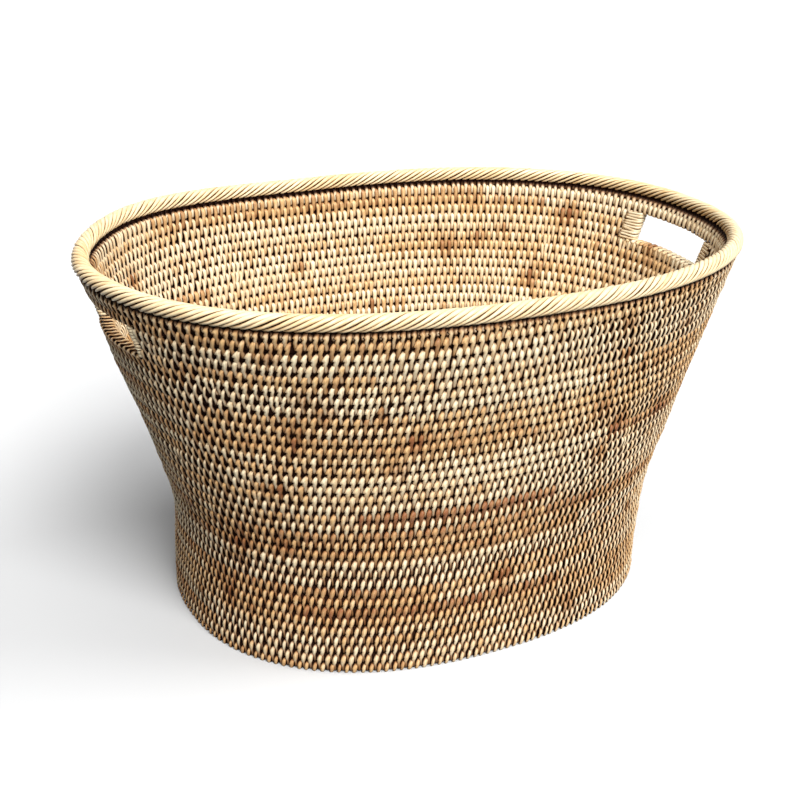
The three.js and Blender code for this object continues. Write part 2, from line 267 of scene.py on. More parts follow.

# The stitches of the base. Strips of rattan peel, flat below and rounded on top, are wound round each
# new row and the row before it. Each shows a broad head on its own row and a narrower tail between
# the heads of the next row in.

# A stitch goes once round two rows. Millimetres below the top of its row and out of the middle of
# the wall, then its width, thickness, how much shade is painted on it between the rows, from 0 to
# 1, and the degrees by which its upper edge rises to the right, since it comes over the row aslant.
STITCH = np.array(
    [
        (0.8, 0.6, 2.6, 0.9, 1.0, 12),
        (0.9, 2.4, 3.0, 1.0, 0.9, 16),
        (1.5, 3.8, 3.8, 1.1, 0.4, 20),
        (2.6, 4.5, 4.2, 1.15, 0.05, 20),
        (4.0, 4.7, 4.3, 1.15, 0.0, 15),
        (5.6, 4.6, 4.15, 1.15, 0.0, 8),
        (7.4, 4.35, 3.7, 1.1, 0.0, 2),
        (9.2, 3.9, 3.0, 1.05, 0.15, 0),
        (11.0, 3.35, 2.6, 1.0, 0.4, 0),
        (12.8, 3.1, 2.7, 1.0, 0.55, 0),
        (14.6, 2.9, 3.0, 1.0, 0.65, 0),
        (15.8, 2.5, 3.0, 1.0, 0.85, 0),
        (16.4, 1.6, 3.0, 1.0, 0.95, 0),
        (16.6, 0.3, 3.0, 1.0, 1.0, 0),
        (16.7, -1.2, 3.2, 1.0, 1.0, 0),
        (16.4, -2.4, 3.6, 1.0, 0.5, 0),
        (15.0, -3.4, 4.1, 1.0, 0.2, 0),
        (12.4, -3.6, 4.1, 1.05, 0.1, 0),
        (9.8, -3.9, 3.8, 1.1, 0.0, 0),
        (7.6, -4.3, 3.9, 1.2, 0.0, 0),
        (5.4, -4.6, 4.4, 1.25, 0.0, 4),
        (3.5, -4.7, 4.8, 1.3, 0.0, 8),
        (2.1, -4.3, 4.8, 1.3, 0.0, 10),
        (1.2, -3.3, 4.4, 1.2, 0.3, 12),
        (0.8, -1.4, 3.6, 1.0, 1.0, 12),
    ]
)
# A strip's section: across it, as a share of its width, and up, as a share of its thickness
STRIP_SECTION = np.array([(-0.5, 0.0), (-0.38, 0.6), (0.0, 1.0), (0.38, 0.6), (0.5, 0.0)])
# Painted shade of the narrow gap beside a strip, with its darker cut edge: a strip is coloured
# darker towards its edges
STRIP_EDGE_SHADE = np.array([1.0, 0.3, 0.0, 0.3, 1.0])


def strip_piece(
    name, path, side, width, thickness, material, tone, shade_and_stain, closed=True, edge=STRIP_EDGE_SHADE
):
    """Many like strips in one mesh: path and side are arrays of strip, station and x, y, z."""
    count, stations = path.shape[:2]
    corners = len(STRIP_SECTION)
    ahead = np.roll(path, -1, axis=1) - np.roll(path, 1, axis=1)
    if not closed:
        ahead[:, 0] = path[:, 1] - path[:, 0]
        ahead[:, -1] = path[:, -1] - path[:, -2]
    out = np.cross(ahead, side)
    out /= np.linalg.norm(out, axis=-1, keepdims=True)
    across = STRIP_SECTION[:, 0] * width[..., None]
    lift = STRIP_SECTION[:, 1] * thickness[..., None]
    points = path[:, :, None] + side[:, :, None] * across[..., None] + out[:, :, None] * lift[..., None]

    here = np.arange(stations if closed else stations - 1)[:, None]
    there = (here + 1) % stations
    left, right = np.arange(corners), (np.arange(corners) + 1) % corners
    near, far = here * corners, there * corners
    quads = np.stack([near + left, near + right, far + right, far + left], -1).reshape(-1, 4)
    first = (np.arange(count) * stations * corners)[:, None, None]
    faces = [(first + quads).reshape(-1, 4)]

    # Each strip has its own narrow field of the bake map, with a margin for its ends
    columns = math.ceil(math.sqrt(count * 7))
    field = np.array([1 / columns, 1 / math.ceil(count / columns)])
    place = np.stack([np.arange(count) % columns, np.arange(count) // columns], -1) * field
    u = np.stack([left, left + 1, left + 1, left], -1) / corners
    v = np.stack([here, here, here + 1, here + 1], -1) / len(here)
    inside = np.stack(np.broadcast_arrays(u[None], v), -1).reshape(-1, 2)
    bake = (place[:, None] + (0.06 + 0.88 * inside) * field).reshape(-1, 2)
    if not closed:
        last = (stations - 1) * corners
        ends = np.array([[4, 3, 1, 0], [last, last + 1, last + 3, last + 4]])
        tips = np.array([[3, 2, 1], [last + 1, last + 2, last + 3]])
        faces += [(first + ends).reshape(-1, 4), (first + tips).reshape(-1, 3)]
        end_field = np.array([(0.2, 0.01), (0.8, 0.01), (0.8, 0.05), (0.2, 0.05)])
        tip_field = np.array([(0.05, 0.01), (0.15, 0.01), (0.1, 0.05)])
        for spot in (end_field, tip_field):
            both = np.concatenate([spot, spot + (0, 0.94)])
            bake = np.concatenate([bake, (place[:, None] + both * field).reshape(-1, 2)])

    # Seen from outside, faces run the other way round where a strip's side points the other way
    a, b, c, d = (points.reshape(count, -1, 3)[0][quads[:, at]] for at in range(4))
    volume = np.einsum("ij,ij->", a, np.cross(b, c)) + np.einsum("ij,ij->", a, np.cross(c, d))
    if volume < 0:
        parts = np.split(bake, np.cumsum([block.size for block in faces])[:-1])
        wide = [block.shape[1] for block in faces]
        turned = [part.reshape(-1, n, 2)[:, ::-1].reshape(-1, 2) for part, n in zip(parts, wide)]
        bake = np.concatenate(turned)
        faces = [block[:, ::-1] for block in faces]

    gone = np.linalg.norm(np.diff(path, axis=1), axis=-1)
    gone = np.concatenate([np.zeros((count, 1)), np.cumsum(gone, axis=1)], axis=1)
    # Each strip is cut from another place of the peel, so its fibres run differently
    cut_from = chance.uniform(0, 50, count)
    fibre = np.broadcast_arrays(across, gone[..., None], cut_from[:, None, None])
    values = {
        "fibre": np.stack(fibre, -1).reshape(-1, 3),
        "tone": np.broadcast_to(tone[:, None, None], across.shape).reshape(-1),
        "shade_and_stain": np.clip(shade_and_stain[..., None] + edge, 0, 1).reshape(-1),
    }
    return mesh_piece(name, points.reshape(-1, 3), faces, material, bake, **values)


def strip_tones(count, shortest, longest, brown_share):
    """How brown each stitch is, from 0 to 1. A strip of peel keeps its colour for many stitches,
    until the next strip is joined on."""
    tones = np.zeros(count)
    at = 0
    while at < count:
        run = int(chance.integers(shortest, longest))
        tones[at : at + run] = chance.beta(1.3, 4.2) + (chance.random() < brown_share) * 0.35
        at += run
    return np.clip(tones + chance.normal(0, 0.08, count), 0, 1)


def tail_shift(place):
    """How far aside of its head each stitch's tail lies, in turns: in the middle of the nearest gap
    between two heads of the turn before."""
    gap = (place[1:] + place[:-1]) / 2 + 1
    after = np.clip(np.searchsorted(gap, place), 1, len(gap) - 1)
    nearest = np.where(place - gap[after - 1] < gap[after] - place, gap[after - 1], gap[after])
    return np.where(place - place[0] < 1, 0, nearest - place)


# Peel has 14 fibres in 5 mm across the strip, each 12.5 mm long. Its stains come and go 3 times in
# 10 mm across the strip and 13 times in 100 mm along it.
FIBRES_ACROSS = 14 / (5 * MM)
FIBRES_ALONG = 1 / (12.5 * MM)
STAINS_ACROSS = 3 / (10 * MM)
STAINS_ALONG = 13 / (100 * MM)


def peel_material(name, pale, honey, brown, shaded, roughness):
    """Split rattan peel: a hard, faintly waxy skin with fine fibres along the strip, pale to honey
    where it is sound and brown where it is stained."""
    peel = new_material(name)
    tone = add(peel, "ShaderNodeAttribute", {}, attribute_name="tone").outputs["Fac"]
    shade_and_stain = add(peel, "ShaderNodeAttribute", {}, attribute_name="shade_and_stain").outputs["Fac"]
    fibre = add(peel, "ShaderNodeAttribute", {}, attribute_name="fibre").outputs["Vector"]
    fibres = (FIBRES_ACROSS, FIBRES_ALONG, 1)
    stretch = add(peel, "ShaderNodeMapping", {"Vector": fibre, "Scale": fibres})
    streak = add(
        peel, "ShaderNodeTexNoise", {"Vector": stretch.outputs["Vector"], "Scale": 1.0, "Detail": 3.0}
    ).outputs["Fac"]
    stains = (STAINS_ACROSS, STAINS_ALONG, 1)
    spread = add(peel, "ShaderNodeMapping", {"Vector": fibre, "Scale": stains})
    stain = add(
        peel, "ShaderNodeTexNoise", {"Vector": spread.outputs["Vector"], "Scale": 1.0, "Detail": 2.0}
    )
    uneven = add(
        peel, "ShaderNodeMath", {0: stain.outputs["Fac"], 1: 0.9, 2: -0.45}, operation="MULTIPLY_ADD"
    )
    depth = add(peel, "ShaderNodeMath", {0: tone, 1: uneven.outputs["Value"]}, operation="ADD")
    depth = depth.outputs["Value"]
    honeyed = add(peel, "ShaderNodeMapRange", {"Value": depth, "From Max": 0.5})
    stained = add(peel, "ShaderNodeMapRange", {"Value": depth, "From Min": 0.5})
    fibrous = add(
        peel, "ShaderNodeMapRange", {"Value": streak, "From Min": 0.52, "From Max": 0.75, "To Max": 0.55}
    )
    # Painted shade between the strips, and the stain spots: the colour goes first towards brown, then,
    # where the shade is deep, towards nearly black
    browned = add(peel, "ShaderNodeMapRange", {"Value": shade_and_stain, "From Max": 0.6, "To Max": 0.85})
    deep = add(peel, "ShaderNodeMapRange", {"Value": shade_and_stain, "From Min": 0.45})
    colour = linear(pale)
    for amount, over in (
        (honeyed, honey), (stained, brown), (fibrous, brown), (browned, brown), (deep, shaded)
    ):
        layers = {"Fac": amount.outputs["Result"], "Color1": colour, "Color2": linear(over)}
        colour = add(peel, "ShaderNodeMixRGB", layers).outputs["Color"]
    # Gloss goes down where shade is painted, so that no highlight shows in it, and on the stain spots
    gloss = add(
        peel, "ShaderNodeMapRange", {"Value": shade_and_stain, "From Max": 0.6, "To Min": 0.5, "To Max": 0.05}
    )
    relief = add(peel, "ShaderNodeBump", {"Height": streak, "Strength": 0.35, "Distance": 0.15 * MM})
    surface = add(
        peel,
        "ShaderNodeBsdfPrincipled",
        {
            "Base Color": colour,
            "Roughness": roughness,
            "Specular IOR Level": gloss.outputs["Result"],
            "Normal": relief.outputs["Normal"],
        },
    )
    add(peel, "ShaderNodeOutputMaterial", {"Surface": surface.outputs["BSDF"]})
    return peel


# The stitches are of well dried peel, cream to honey, with brown stains
peel = peel_material(
    "rattan_peel", pale="#fff3d0", honey="#e3be86", brown="#8c5936", shaded="#170602", roughness=0.5
)

BASE_STITCH_PITCH = 6.3 * MM
ROD_WRAPPED = 4.8 * MM  # how much of the rod a stitch of the first turn goes round
OVER_ROD = 2.9  # how far those stitches rise over the rod, in millimetres before they are flattened
FLATTENED = 0.64  # the base is thinner than the wall, so the stitches are flatter there
BASE_MESHES = 3
# Stitches are evenly spaced along the coil, from where it is thick enough to be sewn
fine = np.arange(0.35, BASE_TURNS + 0.8, 1 / 720)
route = base_point(START + TURN * fine, base_row(fine)[0], 0)
length = np.concatenate([[0], np.cumsum(np.linalg.norm(np.diff(route, axis=0), axis=1))])
places = np.interp(np.arange(0, length[-1], BASE_STITCH_PITCH), length, fine)
shift = tail_shift(places)
# Down over the row and out of the wall, in millimetres, and what the stitch is like there
u, n, wide, thick, shade_and_stain, twist = STITCH.T
twist = np.radians(twist)


def row_share(u, own, before):
    """Turns a stitch's distance below its row's top into one for rows that are thinner."""
    rise = ROW_RISE / MM
    return np.where(u < rise, u / rise * own, own + (u / rise - 1) * before)


place = places[:, None]
first_turn = place < 1
row_middle, half = base_row(place)
_, half_before = base_row(np.maximum(place - 1, 0.2))
below = row_share(u, 2 * half, np.where(first_turn, ROD_WRAPPED, 2 * half_before))
distance = np.maximum(row_middle + half - below, 0.2 * MM)
turned = shift[:, None] * np.clip((u - 2) / 12, 0, 1)
angle = START + TURN * (place + turned)
wobble = chance.normal(0, 0.08, places.shape)[:, None]
over_rod = first_turn & (u > 15) & (n > 0)
level = BASE_MIDDLE + np.where(over_rod, OVER_ROD, n) * MM * FLATTENED * (1 + wobble)
path = base_point(angle, distance, level)
spun = base_point(angle + 0.002, distance, level) - base_point(angle - 0.002, distance, level)
side = -spun / np.linalg.norm(spun, axis=-1, keepdims=True)
outer = np.stack([-side[..., 1], side[..., 0], side[..., 2]], axis=-1)
side = side * np.cos(twist)[:, None] + outer * np.sin(twist)[:, None]
width = wide * MM * (1 + wobble)
thickness = np.broadcast_to(thick * MM * 0.9, width.shape)
# The first stitches meet over the rod, in full view, so less shade is painted on them
base_shade = shade_and_stain * np.where(first_turn, 0.3, 0.7)
tones = strip_tones(len(places), shortest=15, longest=60, brown_share=0.2)
share = len(places) // BASE_MESHES
for part in range(BASE_MESHES):
    some = slice(part * share, (part + 1) * share if part < BASE_MESHES - 1 else None)
    piece = strip_piece(
        f"base_stitches_{part + 1}",
        path[some],
        side[some],
        width[some],
        thickness[some],
        peel,
        tones[some],
        base_shade[some],
    )
    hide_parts("base_coil")

# The core canes of the wall climb in one spiral from the floor to the rim, the next spliced on where
# one ends. Three rows are cut short at each end of the basket to leave the hand holes open.

RIGHT_END = 0.25  # parts of a turn, from the middle of the front
LEFT_END = 0.75
HOLE_ROWS = 3
ROWS_OVER_HOLE = 2
FIRST_CUT_ROW = WALL_ROWS - ROWS_OVER_HOLE - HOLE_ROWS
# Where the spiral first meets each hole, in turns
LEFT_HOLE = FIRST_CUT_ROW + LEFT_END
RIGHT_HOLE = FIRST_CUT_ROW + 1 + RIGHT_END
# To each side of the middle of a hole: its edge, where the stitches stop, and where the rows end
HOLE_HALF = 49 * MM
STITCH_END = 54.5 * MM
ROW_END = 57.7 * MM
CANES_BELOW_HOLES = 6
CORE_HALF_DEPTH = 2.2 * MM


def row_top(turn):
    """Height of a row's top: the spiral climbs one row a turn, up to the hoop."""
    return np.minimum(turn * ROW_RISE, WALL_TOP)


def row_height(turn):
    """Height of the spiral's row, thin where it starts on the floor and where it ends under the rim."""
    bottom = ROW_RISE * np.maximum(turn - 1, 0)
    return np.clip(row_top(turn) - bottom, 0.5 * MM, ROW_RISE)


# Waves left by bending and pulling the wall tight by hand: height in millimetres, waves round the
# basket, radians by which they turn for each metre up, and where they start
BULGES = [(0.54, 3, 21, 0.6), (0.42, 5, -34, 2.0), (0.3, 11, 47, 1.1), (0.21, 17, -75, 0)]
LIFTS = [(0.275, 4, 13, 3.0), (0.22, 9, -40, 0.7), (0.1375, 23, 90, 0)]
WAVES_START = 30 * MM  # they fade out this near to the floor and to the rim
# Where the rim has settled out of its oval: at which angle and over how wide an arc in degrees,
# how far outward and how far up in millimetres
SETTLED = [(132, 24, 0.0, 3.5), (100, 22, 0.0, -1.5), (150, 12, -2.0, 0.0), (178, 10, 3.0, 0.0)]


def hand_shaped(angle, z):
    """The small unevenness of a handmade wall: outward and upward shifts."""
    free = np.clip(z / WAVES_START, 0, 1) * np.clip((WALL_TOP - z) / WAVES_START, 0, 1)
    bulge, rise = (
        free * sum(size * MM * np.sin(many * angle + up * z + first) for size, many, up, first in waves)
        for waves in (BULGES, LIFTS)
    )
    share = np.clip(z / HOOP_HEIGHT, 0, 1.1) ** 3
    for middle, arc, outward, upward in SETTLED:
        away = (np.degrees(angle) - middle + 180) % 360 - 180
        swell = np.exp(-((away / arc) ** 2)) * share
        bulge, rise = bulge + outward * MM * swell, rise + upward * MM * swell
    return bulge, rise


def shaped_point(angle, outward, z):
    """A point of the wall as it stands, uneven."""
    bulge, lift = hand_shaped(angle, z)
    return wall_point(angle, outward + bulge, z + lift)


def angle_beside(sideways, z):
    """Angle between the end of the long axis and the point of the wall this far to its side."""
    _, half_width, fullness = oval_at(z)
    across = sideways / half_width
    return np.arctan2(across, (1 - across**fullness) ** (1 / fullness))


def turn_beside(hole, way, sideways):
    """The turn of the spiral this far from the middle of a hole, after it or, with -1, before it."""
    return hole + way * angle_beside(sideways, ROW_RISE * hole) / TURN


def core_cane(name, start, end, *nodes):
    """A core cane of the wall between two turns of the spiral, thinner where its row is thin."""
    turn = np.linspace(start, end, max(3, round((end - start) * 96)))
    height = row_height(turn)
    z = row_top(turn) - height / 2
    angle = START + TURN * turn
    middle = shaped_point(angle, 0.0 * turn, z)
    outward = oval_normal(angle, z) * (CORE_HALF_DEPTH * np.clip(height / (6 * MM), 0.3, 1))[:, None]
    piece = rod_piece(name, middle, outward, np.array([0, 0, 1.0]) * (0.56 * height)[:, None], core)
    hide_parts(*nodes)


for number in range(1, CANES_BELOW_HOLES + 1):
    start = max(CORE_START, LEFT_HOLE * (number - 1) / CANES_BELOW_HOLES)
    end = LEFT_HOLE * number / CANES_BELOW_HOLES
    if number == CANES_BELOW_HOLES:
        end = turn_beside(LEFT_HOLE, -1, ROW_END)
    core_cane(f"core_cane_{number}", start, end, f"wall_cane_{number}")
for row in range(HOLE_ROWS):
    left, right = LEFT_HOLE + row, LEFT_HOLE + row + RIGHT_END + 1 - LEFT_END
    start, end = turn_beside(left, 1, ROW_END), turn_beside(right, -1, ROW_END)
    core_cane(f"core_front_arc_{row + 1}", start, end, f"front_arc_{row + 1}")
    if row < HOLE_ROWS - 1:
        start, end = turn_beside(right, 1, ROW_END), turn_beside(left + 1, -1, ROW_END)
        core_cane(f"core_back_arc_{row + 1}", start, end, f"back_arc_{row + 1}")
start = turn_beside(RIGHT_HOLE + HOLE_ROWS - 1, 1, ROW_END)
core_cane("core_cane_7", start, WALL_ROWS + 0.83, "wall_cane_7")

# The stitches of the wall, of the same strips of peel. Each goes down between two heads of the row
# below and through the wall under it. Where the wall widens and the gaps grow too far apart, one gap
# takes two stitches. Where rows are cut for a hand hole, the row under it is wound by itself.

STITCH_PITCH = 6.65 * MM
EASY_PITCH = 6.8 * MM  # the wider spacing that the strips still fill
SLACK_LEFT = 0.3  # share of the room beyond it that fuller strips don't take up
FIRST_STITCH = 0.2  # in turns, as is the end of the stitches
STITCH_TURNS = WALL_ROWS + 1.7
# How much of its own row and of the row before a stitch wraps at the sill of a hand hole, and of a
# row that isn't there
SILL_OWN = 2.4 * MM
SILL_BEFORE = 7.0 * MM
NO_ROW = 0.4 * MM
# Above the first of these heights the wall is sewn loosely, below the second tightly
LOOSE_ABOVE = 200 * MM
TIGHT_BELOW = 110 * MM
# Along a stitch, from millimetres below its row's top to: further reach where it is tight, shift by
# the slant, width of a narrow head, shift by a fold, and width of the fold's flap
TIGHT_REACH = ([0.8, 3.0, 12.0, 16.0], [-0.3, 0.0, 0.0, 0.8])
SLANTED = ([0, 9.0, 14.0], [4.5, -4.0, 0.0])
NARROW = ([0.8, 2.6, 5.6, 9.0, 12.0, 16.6], [2.7, 3.7, 3.6, 3.4, 4.0, 3.6])
FOLD_SHIFT = ([0.9, 1.5, 4.0, 5.6], [0.0, 0.9, 1.1, 0.0])
FLAP = ([0.9, 1.5, 2.6, 4.0, 4.9, 5.6], [0.0, 1.3, 2.2, 2.0, 0.4, 0.0])
# Round the basket, from degrees to: how much more the stitches are folded, which is most in the
# middle of the long sides and least at the ends, and how much they lie aslant
FOLDED_ROUND = (
    [0, 30, 50, 85, 110, 150, 205, 228, 262, 285, 330, 360],
    [-0.5, -0.4, 0.5, 0.5, -0.3, -0.5, -0.3, 0.6, 0.6, -0.4, -0.6, -0.5],
)
ASLANT_ROUND = ([170, 200, 235, 260], [0, 1, 1, 0])
KNOT_SPACING = 0.19  # turns between the places where the weaver's hand changes
RIM_SHADE = 5.2 * MM  # how far under the wall's top the last row is drawn in and painted in shade
OPEN_EDGE_WIDTH = 5.4 * MM
STAINED_SPOTS = 60
HEAD_STATION = 5  # of STITCH, in the middle of the head
WALL_MESHES = 11


def steepest(angle, z):
    """How the wall's steepest line turns for each metre up, and the wall's length for each radian."""
    up = wall_point(angle, 0.0 * angle, z + 1 * MM) - wall_point(angle, 0.0 * angle, z - 1 * MM)
    along = wall_point(angle + 0.001, 0.0 * angle, z) - wall_point(angle - 0.001, 0.0 * angle, z)
    speed = np.linalg.norm(along, axis=-1) / 0.002
    return -np.sum(up * along, axis=-1) / (2 * MM * 0.002) / speed**2, speed


def row_of_stitches(below, slack):
    """Heads of a turn and the gaps of the turn before that their tails go to, in turns. Slack is the
    length gained so far over evenly spaced stitches; one more stitch takes it up."""
    heads, tails = [], []
    gaps = (below[1:] + below[:-1]) / 2 + 1
    rise, speed = steepest(START + TURN * gaps, ROW_RISE * (gaps - 1))
    placed = gaps + ROW_RISE * rise / TURN
    spacing = np.diff(placed, prepend=placed[0]) * TURN * speed
    for gap, head, room in zip(gaps, placed, spacing):
        slack = max(0, slack + SLACK_LEFT * (room - EASY_PITCH))
        if slack > EASY_PITCH:
            slack -= EASY_PITCH
            heads.append((heads[-1] + head) / 2)
            tails.append(gap - 0.6 * (head - heads[-1]))
        heads.append(head)
        tails.append(gap)
    heads = np.array(heads)
    # The weaver evens out the spacing by eye
    heads[1:-1] += 0.25 * (heads[2:] - 2 * heads[1:-1] + heads[:-2])
    return heads, np.array(tails), slack


around = np.linspace(0, TURN, 2881)
route = wall_point(START + around, 0.0 * around, 0.0 * around)
length = np.concatenate([[0], np.cumsum(np.linalg.norm(np.diff(route, axis=0), axis=1))])
first = np.arange(FIRST_STITCH * length[-1], (1 + FIRST_STITCH) * length[-1], STITCH_PITCH)
first = np.interp(first % length[-1], length, around) / TURN + (first > length[-1])
rows, tails, slack = [first], [first], 0
while rows[-1][-1] < STITCH_TURNS:
    below = np.append(rows[-2][-1:] if len(rows) > 1 else [], rows[-1])
    heads, gaps, slack = row_of_stitches(below, slack)
    fresh = heads > rows[-1][-1] + 0.001
    rows.append(heads[fresh])
    tails.append(gaps[fresh])
turn, tail_turn = np.concatenate(rows), np.concatenate(tails)
kept = turn < STITCH_TURNS
turn, tail_turn = turn[kept], tail_turn[kept]
# No stitch sits quite where the rule puts it: it is out by about 0.3 mm
uneven = chance.normal(0, 0.0002, turn.shape)
turn, tail_turn = turn + uneven, tail_turn + uneven

# What a stitch wraps: its own row and the one before it, or less beside a hand hole
own = row_height(turn)
before = np.where(turn < 1, NO_ROW, row_height(np.maximum(turn - 1, 0.01)))
# The stitches of the last row are pressed down by the hoop, and those that close it stand higher
top = row_top(turn) + np.select([turn > WALL_ROWS + 1, turn > WALL_ROWS], [0.5 * MM, -0.8 * MM], 0)
kept = np.ones(len(turn), bool)
sill, lintel = np.zeros(len(turn)), np.zeros(len(turn))
for hole in (LEFT_HOLE, RIGHT_HOLE):
    span = turn_beside(hole, 1, STITCH_END) - hole
    for row in range(HOLE_ROWS + 1):
        near = np.abs(turn - (hole + row)) < span
        if row == 0:
            own = np.where(near, SILL_OWN, own)
            before = np.where(near, SILL_BEFORE, before)
            top = np.where(near, (turn - 1) * ROW_RISE, top)
            sill = np.where(near, 1, sill)
        elif row < HOLE_ROWS:
            kept &= ~near
        else:
            before = np.where(near, NO_ROW, before)
            lintel = np.where(near, 1, lintel)
turn, tail_turn, own, before, top, sill, lintel = (
    values[kept, None] for values in (turn, tail_turn, own, before, top, sill, lintel)
)

# The way of each stitch: an array of stitch and station
count = len(turn)
# Each stitch's own unevenness: aside, outward, in width and in its fold
wobble = chance.normal(0, 1, (count, 4))
high = np.clip((top - TIGHT_BELOW) / (LOOSE_ABOVE - TIGHT_BELOW), 0, 1)
below = row_share(u + np.interp(u, *TIGHT_REACH) * (1 - high), own, before)
# Straight from the middle of the head to the middle of the tail
head_middle, tail_middle = 0.5 * ROW_RISE / MM, 1.5 * ROW_RISE / MM
toward = np.clip((u - head_middle) / (tail_middle - head_middle), -0.4, 1.15)
angle = START + TURN * (turn + (tail_turn - turn) * toward)
z = np.maximum(top - below, 0.2 * MM)
level = np.broadcast_to(np.mean(z, axis=1, keepdims=True), z.shape)
_, speed = steepest(angle, level)
# The heads lie aslant in the lower rows. Higher up they are narrow and stand straight, and many are
# folded over the cane from the left, which leaves a flap beside them at their upper ends.
outside = n > 0
degrees = np.degrees(START + TURN * turn) % 360
knots = np.arange(0, STITCH_TURNS + 1, KNOT_SPACING)
folds = np.interp(turn, knots, chance.uniform(-0.35, 1.6, len(knots)))
# Some stretches are wound tight and fine, others looser and fuller
loose = np.interp(turn, knots, chance.normal(0, 0.08, len(knots)))
easy = np.interp(degrees, *FOLDED_ROUND)
folded = np.where(outside, np.clip(high + 0.4, 0, 1), 0) * np.clip(folds + easy, 0.05, 1)
folded = folded * (1 + 0.15 * wobble[:, 3:4])
slant = 0.21 - 0.1 * high + 0.17 * high * np.interp(degrees, *ASLANT_ROUND)
slant = slant + 0.05 * np.sin(3 * angle + 31 * level)
aside = np.interp(u, *SLANTED) * np.where(outside, 1.0, 0.3) * slant
aside = aside - folded * np.interp(u, *FOLD_SHIFT)
angle = angle + (aside + 0.2 * wobble[:, :1]) * MM / speed
# Just under the rim the last row is drawn in, and painted dark with the shade under the rim
under_rim = np.clip((z - WALL_TOP + RIM_SHADE) / (2 * MM), 0, 1)
fuller = 1 + 0.06 * sill
outward = n * (1 + 0.02 * wobble[:, 1:2] + 0.6 * loose) * fuller * (1 - 0.45 * under_rim) * MM
path = shaped_point(angle, outward, z)
normal = oval_normal(angle, z)
side = np.stack([-normal[..., 1], normal[..., 0], 0 * z], axis=-1)
turned = (twist * (1 + folded * 0.5))[..., None]
side = side * np.cos(turned) + np.array([0, 0, 1.0]) * np.sin(turned)

# Width and shade. A strip fills the room that it has, and less of it at the ends of the basket
front = np.where(outside, high, 0)
wide = wide + front * (np.interp(u, *NARROW) - wide) + folded * np.interp(u, *FLAP)
room = np.clip(np.gradient(turn[:, 0])[:, None] * TURN * speed / STITCH_PITCH, 0.92, 1.08)
room = room * (1 + 0.33 * np.minimum(easy, 0) * outside) * (1 + loose)
width = wide * MM * (1 + 0.07 * wobble[:, 2:3]) * fuller * room
thickness = np.broadcast_to(thick * MM, width.shape)
# A strip is in full view where it turns over the edge of a hand hole
edge = np.maximum(sill * (u < 1.6), lintel * (u > 9))
width = width + edge * (OPEN_EDGE_WIDTH - width)
# Painted shade: less on the tails of the high front rows, none where a strip turns over the edge of a
# hand hole, and the rim's shade under the rim
wall_shade_and_stain = np.maximum(shade_and_stain * (1 - 0.5 * front * (u < 15)) * (1 - edge), under_rim)
tones = strip_tones(count, shortest=12, longest=60, brown_share=0.09)
# Spots a few stitches wide are stained by water and handling
for _ in range(STAINED_SPOTS):
    spot_turn, spot_size = chance.uniform(2, WALL_ROWS), chance.uniform(5, 11) * MM
    rows_away = np.round(turn[:, 0] - spot_turn)
    along = (turn[:, 0] - spot_turn - rows_away) * TURN * speed[:, HEAD_STATION]
    spot = np.exp(-(along**2 + (rows_away * ROW_RISE) ** 2) / spot_size**2)
    tones = np.clip(tones + chance.uniform(0.2, 0.7) * spot, 0, 1)
    wall_shade_and_stain = np.maximum(wall_shade_and_stain, 0.35 * spot[:, None])
ends = np.linspace(0, count, WALL_MESHES + 1).astype(int)
# A mesh of stitches covers parts of several canes and arcs
canes = [f"wall_cane_{number}" for number in range(1, CANES_BELOW_HOLES + 2)]
arcs = ["front_arc_1", "front_arc_2", "front_arc_3", "back_arc_1", "back_arc_2"]
for part in range(WALL_MESHES):
    some = slice(ends[part], ends[part + 1])
    piece = strip_piece(
        f"wall_stitches_{part + 1}",
        path[some],
        side[some],
        width[some],
        thickness[some],
        peel,
        tones[some],
        wall_shade_and_stain[some],
    )
    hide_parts(*canes, *arcs)

# The edges of the hand holes. A stick stands at each side of a hole, held against the ends of the cut
# rows by a skein of split peel, wound level round both, turn on turn.

STICK_RADIUS = 3.3 * MM
STICK_BESIDE = 5 * MM  # from the hole's edge to the middle of the stick
WRAPS = 10
WRAP_WIDTH = 3.1 * MM
WRAP_THICKNESS = 1.0 * MM
WRAP_EDGE_SHADE = np.array([0.8, 0.15, 0.0, 0.15, 0.8])
# One wrap: millimetres beyond the hole's edge and out of the middle of the wall. Inside it reaches
# far over the rows, outside it goes down between the first stitches.
WRAP = np.array(
    [
        (0.0, 0.0), (0.0, 2.4), (0.6, 4.1), (2.0, 5.0), (3.7, 4.9), (4.8, 3.6), (5.2, 1.6), (9.0, -1.0),
        (14.0, -2.6), (16.8, -4.4), (16.6, -5.6), (13.5, -5.8), (9.0, -5.8), (5.0, -5.7), (2.0, -5.1),
        (0.5, -3.7), (0.0, -1.9),
    ]
)
# The skeins at the holes are of split peel that is paler and cleaner than the stitches
straw = peel_material(
    "split_peel", pale="#fbf0cf", honey="#e6cb9e", brown="#98683c", shaded="#2a1407", roughness=0.5
)


def beside_hole(hole, way, sideways, outward, level):
    """A point beside a hole; level goes from 0 at the sill to 1 under the lintel."""
    middle_row = hole + (HOLE_ROWS - 1) / 2
    turn = turn_beside(middle_row, way, sideways)
    z = ROW_RISE * (turn - 0.5 + HOLE_ROWS * (level - 0.5))
    return shaped_point(START + TURN * hole + way * angle_beside(sideways, z), outward, z)


